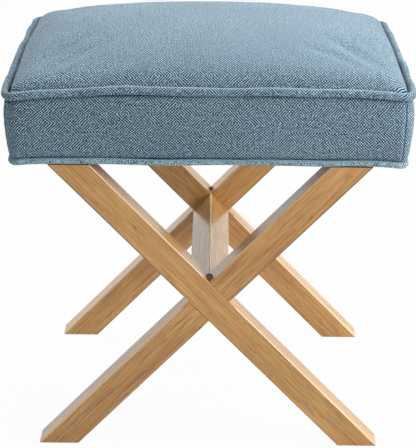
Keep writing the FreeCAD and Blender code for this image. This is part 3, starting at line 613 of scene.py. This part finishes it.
def uneven(walked, seed, waves=9):
    """A slow unevenness along a closed seam, about 1 high, that meets itself at the joint."""
    draw = np.random.default_rng(seed)
    total = np.zeros(np.shape(walked))
    for count in range(3, 3 + 2 * waves, 2):
        phase = draw.uniform(0, math.tau)
        total = total + np.sin(walked / walked[-1] * math.tau * count + phase) / math.sqrt(waves)
    return total


def arch(half_span, rise, offset, shoulder_share):
    """Height of a three-centred arch at an offset from its middle."""
    shoulder = shoulder_share * rise
    reach, lift = half_span - shoulder, rise - shoulder
    depth = (reach ** 2 - lift ** 2) / (2 * lift)
    radius = depth + rise
    joint = radius * reach / np.hypot(reach, depth)
    main = np.sqrt(np.maximum(radius ** 2 - offset ** 2, 0)) - depth
    ends = np.sqrt(np.maximum(shoulder ** 2 - (np.abs(offset) - reach) ** 2, 0))
    return np.where(np.abs(offset) < joint, main, ends)


def pucker_at(walked, distance):
    """Small puckers that a seam pulls into the cloth, dying away from it, and uneven by a second, slower
    ripple."""
    settings = cover()
    phase = walked * (math.tau / settings.pucker_pitch)
    ripple = np.sin(phase) + 0.6 * np.sin(phase * 0.63 + 1.3)
    return settings.pucker * ripple * np.exp(-distance / settings.pucker_pitch)


class STOOL_OT_wood(bpy.types.Operator):
    """Varnishes the four legs and the stretcher, each with its own grain"""
    bl_idname = "stool.wood"
    bl_label = "Legs and stretcher"

    def execute(self, context):
        back = Vector((0, 1, 0))
        for seed, leg in enumerate(LEGS, 1):
            assign(leg, wood_material(leg, self.direction(leg), back, seed))
        upright = Vector((-1, 0, 1)).normalized()
        assign("stretcher", wood_material("stretcher", back, upright, len(LEGS) + 1))
        return {"FINISHED"}

    @staticmethod
    def direction(leg):
        """The way that a leg runs to the right, from the middles of its two level ends."""
        points = solid_points(leg)
        middles = []
        for level in (points[:, 2].min(), points[:, 2].max()):
            face = points[np.isclose(points[:, 2], level, atol=0.0002)]
            middles.append((face.min(axis=0) + face.max(axis=0)) / 2)
        low, high = sorted(middles, key=lambda middle: middle[0])
        return Vector(high - low).normalized()


class STOOL_OT_seat_frame(bpy.types.Operator):
    """Finishes the hidden seat frame: rails, corner blocks and plywood deck"""
    bl_idname = "stool.seat_frame"
    bl_label = "Seat frame"

    def execute(self, context):
        softwood = softwood_material()
        for node in (*RAILS, *BLOCKS):
            assign(node, softwood)
        assign("seat_deck", plywood_material())
        return {"FINISHED"}


class STOOL_OT_hardware(bpy.types.Operator):
    """Finishes the screws, bolts, nuts, staples and foot glides"""
    bl_idname = "stool.hardware"
    bl_label = "Hardware"

    def execute(self, context):
        zinc = speckled_material("zinc_steel", (0.30, 0.31, 0.33), (0.62, 0.63, 0.65), 900, 0.36,
                                 0.0001, metallic=1.0)
        for node in FIXINGS:
            assign(node, zinc)
        glide = speckled_material("glide_plastic", (0.03, 0.022, 0.016), (0.07, 0.05, 0.036), 1500, 0.5,
                                  0.0001)
        assign("foot_glides", glide)
        return {"FINISHED"}


class STOOL_OT_crossing_screws(bpy.types.Operator):
    """Turns the two button-headed screws that pin the stretcher in the crossings"""
    bl_idname = "stool.crossing_screws"
    bl_label = "Crossing screws"

    dome: size("Dome", 0.0044, "Height of the rounded head over its rim")
    rim: size("Rim", 0.0024, "Height of the head's straight rim")
    socket: size("Socket", 0.0028, "Width of the six-sided socket")
    shank: share("Shank", 0.57, "Thickness of the shank as a share of the head's")
    tip: share("Tip", 0.05, "Thickness of the blunt tip as a share of the head's")
    around: whole("Around", 36, 12, "Points round a screw")

    def execute(self, context):
        steel = speckled_material("screw_steel", (0.07, 0.07, 0.08), (0.22, 0.22, 0.24), 900, 0.34,
                                  0.0001, metallic=0.8)
        solid = solid_points("crossing_screws")
        points, faces = [], []
        for end in (-1, 1):
            screw = solid[solid[:, 1] * end > 0]
            faces += self.turn_screw(screw.min(axis=0), screw.max(axis=0), points)
        pins = new_piece("crossing_pins", points, faces)
        pins.data.set_sharp_from_angle(angle=math.radians(35))
        dress(pins, steel, "zinc_steel", "crossing_screws")
        return {"FINISHED"}

    def turn_screw(self, low, high, points):
        """Adds one screw's points, and gives its faces."""
        first = len(points)
        middle = (low + high) / 2
        head = (high[0] - low[0]) / 2
        shank, tip, under = self.shank * head, self.tip * head, high[2] - self.rim
        mouth = math.acos(self.socket / 2 / head)
        rings = [(tip, low[2]), (shank, low[2] + 2 * shank), (shank, under), (head, under),
                 (head, high[2])]
        for bend in np.linspace(0, mouth, 8)[1:]:
            rings.append((head * math.cos(bend), high[2] + self.dome * math.sin(bend)))
        rings.append((self.socket / 2, rings[-1][1] - self.socket / 2))
        for number, (radius, level) in enumerate(rings):
            for angle in math.tau * np.arange(self.around) / self.around:
                six_sided = number >= len(rings) - 2
                flat = math.cos(angle % (math.pi / 3) - math.pi / 6) if six_sided else 1
                reach = radius / flat
                across, back = reach * math.cos(angle), reach * math.sin(angle)
                points.append((middle[0] + across, middle[1] + back, level))
        faces = grid_faces(len(rings), self.around, wrap=True, first=first)
        return faces + end_caps(len(rings), self.around, first)


class STOOL_OT_padding(bpy.types.Operator):
    """Builds the foam block and the fibre wadding round the rails, under the cover"""
    bl_idname = "stool.padding"
    bl_label = "Padding"

    step: size("Step", 0.012, "Spacing of the padding's points")

    def rings(self, levels, half):
        """Rounded rectangles one over another, from (height, inset) pairs: their points, and how many
        points each has."""
        radius = cover().corner_radius
        core, facing, _ = walk_outline(half.x, half.y, radius, self.step)
        core, facing = core[:-1], facing[:-1]
        points = []
        for level, inset in levels:
            ring = core + (radius - inset) * facing
            points.extend((x, y, level) for x, y in ring)
        return points, len(core)

    def execute(self, context):
        settings = cover()
        foam = speckled_material("cut_foam", (0.62, 0.56, 0.36), (0.82, 0.77, 0.58), 700, 0.9,
                                 0.0006)
        fibre = speckled_material("fibre_wadding", (0.78, 0.78, 0.76), (0.93, 0.93, 0.92), 260, 0.95,
                                  0.002)
        ease = settings.draw_in + 2 * settings.cloth
        top = FOAM_HIGH.z - settings.front_left_dip
        middle = (FOAM_LOW.z + top) / 2
        puff, foot_round, top_round = 0.002, 0.003, 0.004
        levels = ((FOAM_LOW.z, ease + puff), (FOAM_LOW.z + foot_round, ease), (middle, ease - puff),
                  (top - top_round, ease), (top, ease + top_round))
        points, columns = self.rings(levels, FOAM_HIGH)
        faces = grid_faces(len(levels), columns, wrap=True) + end_caps(len(levels), columns)
        block = new_piece("foam_core", points, faces)
        dress(block, foam, "foam", "foam_block")

        low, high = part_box("side_wadding")
        outer = settings.cloth + settings.draw_in
        inner = high.x - RAIL_HIGH.x - settings.cloth / 4
        foot = low.z + settings.hem_left_dip
        section = ((foot, inner), (foot, outer), ((foot + high.z) / 2, outer - puff), (high.z, outer),
                   (high.z, inner))
        points, columns = self.rings(section, high)
        faces = grid_faces(len(section) + 1, columns, wrap=True)
        faces = [tuple(index % len(points) for index in face) for face in faces]
        band = new_piece("rail_wadding", points, faces)
        dress(band, fibre, "wadding", "side_wadding")
        return {"FINISHED"}


class STOOL_OT_boxing(bpy.types.Operator):
    """Sews the four cloth sides, fullest above the middle and drawn in to their seams"""
    bl_idname = "stool.boxing"
    bl_label = "Boxing"

    rows: whole("Rows", 25, 6, "Rows of points up each side")
    step: size("Step", 0.004, "Spacing of points along each side")
    top_draw: share("Top draw", 0.35, "Pull of the top seam as a share of the bottom seam's")
    corner_roll: share("Corner roll", 0.32, "Roll of the corner seams as a share of the other seams'")
    corner_reach: share("Corner reach", 0.6, "Reach of that roll as a share of the other seams'")
    # Painted shade at the corner seams.
    corner_seam_shade: share("Corner dark", 0.2, "Darkness of the corner seams as a share of the other seams'")

    def execute(self, context):
        settings = cover()
        cloth = cloth_material()
        radius = settings.corner_radius
        core, facing, walked = walk_outline(SEAT_HIGH.x, SEAT_HIGH.y, radius, self.step)
        corner_run = radius * math.pi / 2
        seam_run = radius * settings.seam_angle
        long_run = 2 * (SEAT_HIGH.x - radius)
        deep_run = 2 * (SEAT_HIGH.y - radius)
        seams = [long_run / 2 + seam_run]
        for run in (deep_run, long_run, deep_run):
            seams.append(seams[-1] + corner_run + run)
        seams.append(seams[0] + walked[-1])
        for name, start, end in zip(("left", "front", "right", "rear"), seams, seams[1:]):
            self.sew_side(f"{name}_side_cloth", f"{name}_boxing", cloth, core, facing, walked, start, end)
        return {"FINISHED"}

    def sew_side(self, name, node, cloth, core, facing, walked, start, end):
        settings = cover()
        total = walked[-1]
        inner = [place + lap * total for lap in (0, 1) for place in walked[:-1]]
        inner = [place for place in inner if start + SEAM_MARGIN < place < end - SEAM_MARGIN]
        along = np.concatenate([start + SEAM_POINTS, inner, end - SEAM_POINTS[::-1]])
        lap = along % total
        spots = np.column_stack([np.interp(lap, walked, core[:, axis]) for axis in (0, 1)])
        outward = np.column_stack([np.interp(lap, walked, facing[:, axis]) for axis in (0, 1)])
        outward /= np.linalg.norm(outward, axis=1)[:, None]
        edge = spots + settings.corner_radius * outward
        top = SEAT_HIGH.z - top_drop(edge[:, 0], edge[:, 1])
        foot = SEAT_LOW.z - settings.hem_tuck - hem_drop(edge[:, 0], edge[:, 1])

        bend = np.linspace(0, math.pi, self.rows)
        climb = ((1 - np.cos(bend)) / 2)[:, None]
        height = (top - foot)[None, :]
        level = foot[None, :] + climb * height
        below = np.clip((settings.fullest - climb) / settings.fullest, 0, 1)
        above = np.clip((climb - settings.fullest) / (1 - settings.fullest), 0, 1)
        draw = settings.draw_in * (below ** 1.5 + self.top_draw * above ** 2)
        middle = np.sin(math.pi * (along - start) / (end - start)) ** 0.7
        swell = settings.bulge * middle[None, :] * np.sin(math.pi * climb)
        from_hem = np.maximum(climb * height - settings.hem_tuck, 0)
        from_edge = np.minimum(from_hem, (1 - climb) * height)
        from_seam = np.minimum(along - start, end - along)[None, :]
        corner_reach = self.corner_reach * settings.seam_reach
        roll = np.exp(-from_edge / settings.seam_reach)
        roll = roll + self.corner_roll * np.exp(-from_seam / corner_reach)
        ripple = pucker_at(along[None, :], from_edge) + pucker_at(level, from_seam)
        offset = settings.corner_radius - draw + swell - settings.seam_roll * roll + ripple
        points = spots[None, :, :] + offset[:, :, None] * outward[None, :, :]
        points = np.dstack([points, level]).reshape(-1, 3)
        side = new_piece(name, eased(points), grid_faces(self.rows, len(along)))
        # Painted shade: darker along the top and bottom edges, and less so at the corner seams.
        corner_seam_shade = self.corner_seam_shade * np.exp(-from_seam / CORNER_SHADE)
        seam = np.maximum(np.exp(-from_edge / EDGE_SHADE), corner_seam_shade)
        lay_cloth(side, along[None, :] + 0 * level, level, seam)
        thicken(side, settings.cloth)
        dress(side, cloth, "cover_cloth", node)


def fill_cushion(piece, held, frames=20, pressure=4.0):
    """Fills a sewn cushion with air while its seams are held, and moves no point further than the cap."""
    settings = cover()
    scene = bpy.context.scene
    rest = np.array([vertex.co for vertex in piece.data.vertices])
    sewn = piece.vertex_groups.new(name="sewn")
    sewn.add(held, 1.0, "REPLACE")
    filling = piece.modifiers.new("filling", "CLOTH")
    filling.settings.quality = 6
    filling.settings.vertex_group_mass = sewn.name
    filling.settings.use_pressure = True
    filling.settings.uniform_pressure_force = pressure
    filling.settings.tension_stiffness = 12
    filling.settings.compression_stiffness = 12
    filling.settings.bending_stiffness = 1.2
    filling.settings.effector_weights.gravity = 0
    filling.point_cache.frame_start = 1
    filling.point_cache.frame_end = frames
    for number in range(1, frames + 1):
        scene.frame_set(number)
    drawn = piece.evaluated_get(bpy.context.evaluated_depsgraph_get())
    filled = np.array([vertex.co for vertex in drawn.data.vertices])
    piece.modifiers.clear()
    piece.vertex_groups.clear()
    scene.frame_set(1)
    moved = filled - rest
    length = np.linalg.norm(moved, axis=1)[:, None]
    moved = moved * settings.fill_cap / (settings.fill_cap + length)
    corner = np.hypot(PANEL_HIGH.x - np.abs(rest[:, 0]), PANEL_HIGH.y - np.abs(rest[:, 1]))
    moved = moved * (1 - np.exp(-(corner / settings.calm_reach) ** 2))[:, None]
    piece.data.vertices.foreach_set("co", (rest + moved).astype(np.float32).ravel())
    piece.data.update()


class STOOL_OT_top_panel(bpy.types.Operator):
    """Makes the crowned top of the cushion, filled by a cloth simulation"""
    bl_idname = "stool.top_panel"
    bl_label = "Top panel"

    columns: whole("Columns", 93, 9, "Points across the panel")
    rows: whole("Rows", 81, 9, "Points from front to rear")

    def execute(self, context):
        settings = cover()
        half_x, half_y = PANEL_HIGH.x, PANEL_HIGH.y
        rise = PANEL_HIGH.z - PANEL_LOW.z - settings.rim_lift - settings.slack

        def spread(count):
            share_across = np.linspace(-1, 1, count)
            return np.sign(share_across) * (1 - (1 - np.abs(share_across)) ** 1.5)

        x, y = np.meshgrid(half_x * spread(self.columns), half_y * spread(self.rows))
        long_arch = arch(half_x, rise, x, settings.side_shoulder)
        deep_arch = arch(half_y, rise, y, settings.shoulder)
        height = long_arch * deep_arch / rise
        round_x = np.maximum(np.abs(x) - (half_x - settings.panel_corner), 0) / settings.panel_corner
        round_y = np.maximum(np.abs(y) - (half_y - settings.panel_corner), 0) / settings.panel_corner
        plan_x = x + np.sign(x) * settings.panel_corner * round_x * (np.sqrt(1 - round_y ** 2 / 2) - 1)
        plan_y = y + np.sign(y) * settings.panel_corner * round_y * (np.sqrt(1 - round_x ** 2 / 2) - 1)
        base = PANEL_LOW.z + settings.rim_lift - top_drop(plan_x, plan_y)
        rim = np.zeros(x.shape, bool)
        rim[[0, -1], :] = True
        rim[:, [0, -1]] = True
        height[rim] = 0

        upper = np.dstack([plan_x, plan_y, base + height]).reshape(-1, 3)
        inside = np.flatnonzero(~rim.ravel())
        lower_number = np.arange(rim.size)
        lower_number[inside] = rim.size + np.arange(len(inside))
        lower = np.dstack([plan_x, plan_y, base]).reshape(-1, 3)[inside]
        faces = grid_faces(self.rows, self.columns)
        faces += [tuple(int(lower_number[index]) for index in reversed(face)) for face in faces]
        panel = new_piece("top_cushion", eased(np.concatenate([upper, lower])), faces)
        held = [int(index) for index in np.flatnonzero(rim.ravel())]
        held += list(range(rim.size, rim.size + len(inside)))
        fill_cushion(panel, held)

        filled = np.array([vertex.co for vertex in panel.data.vertices])[:rim.size].reshape(*rim.shape, 3)
        along = self.measured(filled, 1)
        across = self.measured(filled, 0)
        distance = np.minimum(np.minimum(across - across[:1], across[-1:] - across),
                              np.minimum(along - along[:, :1], along[:, -1:] - along))
        # Painted shade: darker near the panel's edge seam and all over its hidden underside.
        seam = np.exp(-distance / PANEL_SHADE)
        under = np.ones(len(inside))
        lay_cloth(panel, np.concatenate([along.ravel(), lower[:, 0]]),
                  np.concatenate([across.ravel(), lower[:, 1]]), np.concatenate([seam.ravel(), under]))
        smoother = panel.modifiers.new("smooth", "SUBSURF")
        smoother.levels = smoother.render_levels = 1
        dress(panel, bpy.data.materials[CLOTH_FINISH], "cover_cloth", "top_panel", "crown_wadding")
        return {"FINISHED"}

    @staticmethod
    def measured(points, axis):
        """Distance along the cloth from its middle line, over the grid's rows or columns."""
        steps = np.linalg.norm(np.diff(points, axis=axis), axis=2)
        start = np.zeros_like(np.take(steps, [0], axis=axis))
        walked = np.concatenate([start, np.cumsum(steps, axis=axis)], axis=axis)
        return walked - np.take(walked, [walked.shape[axis] // 2], axis=axis)


class STOOL_OT_welts(bpy.types.Operator):
    """Runs the welts round the top and bottom seams"""
    bl_idname = "stool.welts"
    bl_label = "Welts"

    around: whole("Around", 20, 6, "Points round a welt")
    step: size("Step", 0.004, "Spacing of points along a welt")
    swell: share("Swell", 0.045, "How much the thickness of the welts varies")

    def execute(self, context):
        settings = cover()
        self.run_welt("top_piping", "top_welt", TOP_WELT_LOW, TOP_WELT_HIGH, settings.welt_height,
                      top_drop, settings.welt_wander, settings.top_welt_light, TOP_WELT_SEED)
        thick = BOTTOM_WELT_HIGH.z - BOTTOM_WELT_LOW.z
        proud = Vector((settings.hem_proud, settings.hem_proud, 0))
        self.run_welt("bottom_piping", "bottom_welt", BOTTOM_WELT_LOW - proud, BOTTOM_WELT_HIGH + proud,
                      thick, hem_drop, settings.welt_wander / 2, settings.bottom_welt_light, BOTTOM_WELT_SEED)
        return {"FINISHED"}

    def run_welt(self, name, node, low, high, tall, drop, wander, painted_lighting, seed):
        settings = cover()
        deep = (high.z - low.z) / 2
        tall = tall / 2
        radius = settings.corner_radius + high.x - SEAT_HIGH.x - deep
        core, facing, walked = walk_outline(high.x - deep, high.y - deep, radius, self.step)
        line = core + radius * facing
        sway = wander * uneven(walked, seed)
        lift = wander * uneven(walked, seed + 1)
        level = (low.z + high.z) / 2 - drop(line[:, 0], line[:, 1]) + lift
        swell = 1 + self.swell * uneven(walked, seed + 2, waves=14)
        angles = math.tau * np.arange(self.around) / self.around
        points, along, round_it = [], [], []
        for angle in angles + math.pi:
            out = radius + sway + deep * swell * math.cos(angle)
            ring = core + out[:, None] * facing
            points.append(np.column_stack([ring, level + tall * swell * math.sin(angle)]))
            along.append(walked)
            round_it.append(np.full(len(walked), (angle - math.pi) * (deep + tall) / 2))
        points = np.stack(points, axis=1)
        along, round_it = np.stack(along, axis=1), np.stack(round_it, axis=1)
        rows = len(walked)
        faces = [tuple(reversed(face)) for face in grid_faces(rows, self.around, wrap=True)]
        faces += end_caps(rows, self.around)
        welt = new_piece(name, eased(points.reshape(-1, 3)), faces)
        # Painted shade on the welt's inner side, where it tucks into the seam.
        turned = np.cos(angles + math.pi)[None, :] + 0 * along
        seam = np.clip(-turned - 0.25, 0, 1)
        # Painted highlight along the upper edge of each welt's front, and painted shade along the left
        # and right sides.
        front = np.clip(-facing[:, 1], 0, 1)[:, None]
        ridge = front * np.clip(np.sin(angles + math.pi), 0, 1)[None, :] ** RIDGE_SHARPNESS
        shaded = settings.side_shade * (1 - facing[:, 1] ** 2)[:, None]
        lay_cloth(welt, along, round_it, seam, painted_lighting + settings.ridge_highlight * ridge - shaded)
        dress(welt, bpy.data.materials[CLOTH_FINISH], "welt_cloth", node)


class STOOL_OT_dust_cover(bpy.types.Operator):
    """Stretches the thin lining under the seat, with a slight sag in the middle"""
    bl_idname = "stool.dust_cover"
    bl_label = "Dust cover"

    sag: size("Sag", 0.003, "Sag of the lining in its middle")
    points: whole("Points", 49, 5, "Points along each edge")

    def execute(self, context):
        lining = speckled_material("black_lining", (0.012, 0.012, 0.014), (0.05, 0.05, 0.055), 1100, 0.9,
                                   0.0004)
        shares = np.linspace(-1, 1, self.points)
        x, y = np.meshgrid(LINING_HIGH.x * shares, LINING_HIGH.y * shares)
        hang = ((1 - (x / LINING_HIGH.x) ** 2) * (1 - (y / LINING_HIGH.y) ** 2)) ** 2
        level = LINING_HIGH.z - self.sag * hang
        points = np.dstack([x, y, level]).reshape(-1, 3)
        sheet = new_piece("seat_lining", points, grid_faces(self.points, self.points))
        thicken(sheet, LINING_HIGH.z - LINING_LOW.z)
        dress(sheet, lining, "lining", "dust_cover")
        return {"FINISHED"}


class STOOL_OT_stage(bpy.types.Operator):
    """Sets the camera, the studio light and the pale floor"""
    bl_idname = "stool.stage"
    bl_label = "Stage"

    def execute(self, context):
        self.set_camera(context.scene)
        self.set_world(context.scene)
        settings = stage()
        seat = Vector((0, 0, SEAT_HIGH.z))
        self.set_lamp("overhead_lamp", OVERHEAD_PLACE, seat, OVERHEAD_WIDTH, settings.overhead)
        self.set_lamp("side_lamp", SIDE_PLACE, seat, SIDE_WIDTH, settings.side)
        self.set_floor()
        context.scene.view_settings.view_transform = "Standard"
        return {"FINISHED"}

    @staticmethod
    def set_camera(scene):
        settings = stage()
        data = bpy.data.cameras.new("camera")
        data.sensor_width = 36
        data.lens = settings.lens
        camera = bpy.data.objects.new("camera", data)
        scene.collection.objects.link(camera)
        yaw = Matrix.Rotation(settings.camera_yaw, 4, "Z")
        pitch = Matrix.Rotation(-settings.camera_pitch, 4, "X")
        roll = Matrix.Rotation(settings.camera_roll, 4, "Y")
        level = Matrix.Rotation(math.pi / 2, 4, "X")
        place = Vector((settings.camera_x, -settings.camera_y, settings.camera_z))
        camera.matrix_world = Matrix.Translation(place) @ (yaw @ pitch) @ (roll @ level)
        scene.camera = camera

    @staticmethod
    def seen(shade):
        """1 for the rays that show the backdrop: straight, mirrored or through glass."""
        path = shade.node("LightPath", output="Is Camera Ray")
        mirrored = path.also("Is Glossy Ray")
        return path.math("MAXIMUM", mirrored).math("MAXIMUM", path.also("Is Transmission Ray"))

    def set_world(self, scene):
        world = bpy.data.worlds.new("studio")
        world.use_nodes = True
        world.node_tree.nodes.clear()
        shade = Shade(world.node_tree)
        sky = stage().sky
        strength = sky + (1 - sky) * self.seen(shade)
        light = shade.node("Background", None, {"Color": (1, 1, 1, 1), "Strength": strength})
        shade.node("OutputWorld", None, {"Surface": light})
        scene.world = world

    @staticmethod
    def set_lamp(name, place, aim, width, power):
        data = bpy.data.lights.new(name, "AREA")
        data.size = width
        data.energy = power
        lamp = bpy.data.objects.new(name, data)
        bpy.context.scene.collection.objects.link(lamp)
        lamp.location = place
        lamp.rotation_mode = "QUATERNION"
        lamp.rotation_quaternion = (aim - place).to_track_quat("-Z", "Y")

    def set_floor(self, reach=12.0):
        settings = stage()
        corners = [(-reach, -reach, 0), (reach, -reach, 0), (reach, reach, 0), (-reach, reach, 0)]
        floor = new_piece("floor", corners, [(0, 1, 2, 3)])
        material, shade = new_material("pale_floor")
        lit = shade.node("BsdfDiffuse", None, {"Color": (*settings.floor, 1)})
        white = shade.node("Emission", None, {"Color": (1, 1, 1, 1), "Strength": 1.0})
        factor = self.seen(shade) * settings.floor_white
        surface = shade.node("MixShader", None, {0: factor, 1: lit, 2: white})
        clear = shade.node("BsdfTransparent")
        behind = shade.node("NewGeometry", output="Backfacing")
        show(shade, shade.node("MixShader", None, {0: behind, 1: surface, 2: clear}))
        floor.data.materials.append(material)


OPERATORS = (STOOL_OT_wood, STOOL_OT_seat_frame, STOOL_OT_hardware, STOOL_OT_crossing_screws,
             STOOL_OT_padding, STOOL_OT_boxing, STOOL_OT_top_panel, STOOL_OT_welts, STOOL_OT_dust_cover,
             STOOL_OT_stage)
GROUPS = {"stool_cover": StoolCover, "stool_wood": StoolWood, "stool_stage": StoolStage}


class STOOL_PT_panel(bpy.types.Panel):
    """Lists the stool's settings and the steps that dress it"""
    bl_idname = "STOOL_PT_panel"
    bl_label = "Footstool"
    bl_space_type = "VIEW_3D"
    bl_region_type = "UI"
    bl_category = "Footstool"

    def draw(self, context):
        for name, group in GROUPS.items():
            box = self.layout.box()
            for setting in group.__annotations__:
                box.prop(getattr(context.scene, name), setting)
        for operator in OPERATORS:
            self.layout.operator(operator.bl_idname)


CLASSES = (*GROUPS.values(), *OPERATORS, STOOL_PT_panel)


def register():
    for item in CLASSES:
        bpy.utils.register_class(item)
    for name, group in GROUPS.items():
        setattr(bpy.types.Scene, name, PointerProperty(type=group))


def unregister():
    for name in GROUPS:
        delattr(bpy.types.Scene, name)
    for item in reversed(CLASSES):
        bpy.utils.unregister_class(item)


def main():
    register()
    bpy.ops.stool.wood()
    bpy.ops.stool.seat_frame()
    bpy.ops.stool.hardware()
    bpy.ops.stool.crossing_screws()
    bpy.ops.stool.padding()
    bpy.ops.stool.boxing()
    bpy.ops.stool.top_panel()
    bpy.ops.stool.welts()
    bpy.ops.stool.dust_cover()
    bpy.ops.stool.stage()
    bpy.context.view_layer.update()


if __name__ == "__main__":
    main()
